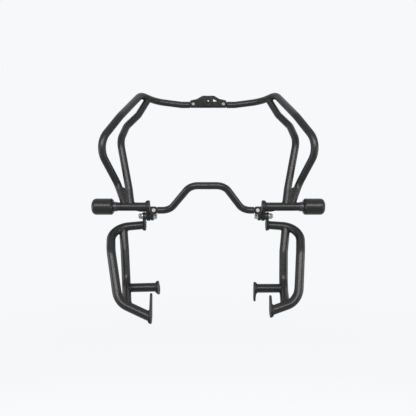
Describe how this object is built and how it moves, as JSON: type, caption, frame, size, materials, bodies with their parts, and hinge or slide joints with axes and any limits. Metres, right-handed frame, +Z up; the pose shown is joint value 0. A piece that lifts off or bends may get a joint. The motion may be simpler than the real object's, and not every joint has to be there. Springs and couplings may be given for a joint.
{
  "type": "motorcycle crash bars",
  "caption": "Bent steel-tube crash bars: upper bars joined at a centre bracket, lower bars, a raised cross brace and plastic sliders that guard a motorcycle's engine and fairing.",
  "frame": {"origin": "centre of the centre bracket's mounting hole, at its boss's near face", "axes": "+X across the motorcycle, +Y away from the picture's camera, +Z up"},
  "size_m": [0.681, 0.372, 0.6917],
  "materials": {
    "coated_steel": "satin black powder coat",
    "slider_plastic": "turned black plastic",
    "slider_collar": "black anodised",
    "black_steel": "black oxide",
    "zinc_steel": "bright zinc plate"
  },
  "bodies": {
    "root": {"brace_screws": "zinc_steel", "brace_washers": "black_steel", "centre_bracket": "coated_steel", "centre_nuts": "zinc_steel", "centre_screws": "zinc_steel", "centre_washers": "black_steel", "cross_brace_left_tongue": "coated_steel", "cross_brace_right_tongue": "coated_steel", "cross_brace_tube": "coated_steel", "joint_bolts": "zinc_steel", "joint_nuts": "zinc_steel", "joint_spacers": "black_steel", "joint_washers": "zinc_steel", "left_brace_bracket": "coated_steel", "left_cross_tube": "coated_steel", "left_gusset": "coated_steel", "left_slider_collar": "slider_collar", "left_slider_plug": "zinc_steel", "left_slider_puck": "slider_plastic", "lower_left_bottom_plate": "coated_steel", "lower_left_branch_tube": "coated_steel", "lower_left_inner_tube": "coated_steel", "lower_left_mid_plate": "coated_steel", "lower_left_outer_tube": "coated_steel", "lower_left_top_plate": "coated_steel", "lower_right_bottom_plate": "coated_steel", "lower_right_branch_tube": "coated_steel", "lower_right_inner_tube": "coated_steel", "lower_right_mid_plate": "coated_steel", "lower_right_outer_tube": "coated_steel", "lower_right_top_plate": "coated_steel", "right_brace_bracket": "coated_steel", "right_cross_tube": "coated_steel", "right_gusset": "coated_steel", "right_slider_collar": "slider_collar", "right_slider_plug": "zinc_steel", "right_slider_puck": "slider_plastic", "slider_bolts": "zinc_steel", "slider_washers": "zinc_steel", "upper_left_end_lug": "coated_steel", "upper_left_inner_tube": "coated_steel", "upper_left_mount_plate": "coated_steel", "upper_left_outer_tube": "coated_steel", "upper_left_web": "coated_steel", "upper_right_end_lug": "coated_steel", "upper_right_inner_tube": "coated_steel", "upper_right_mount_plate": "coated_steel", "upper_right_outer_tube": "coated_steel", "upper_right_web": "coated_steel"}
  },
  "joints": []
}
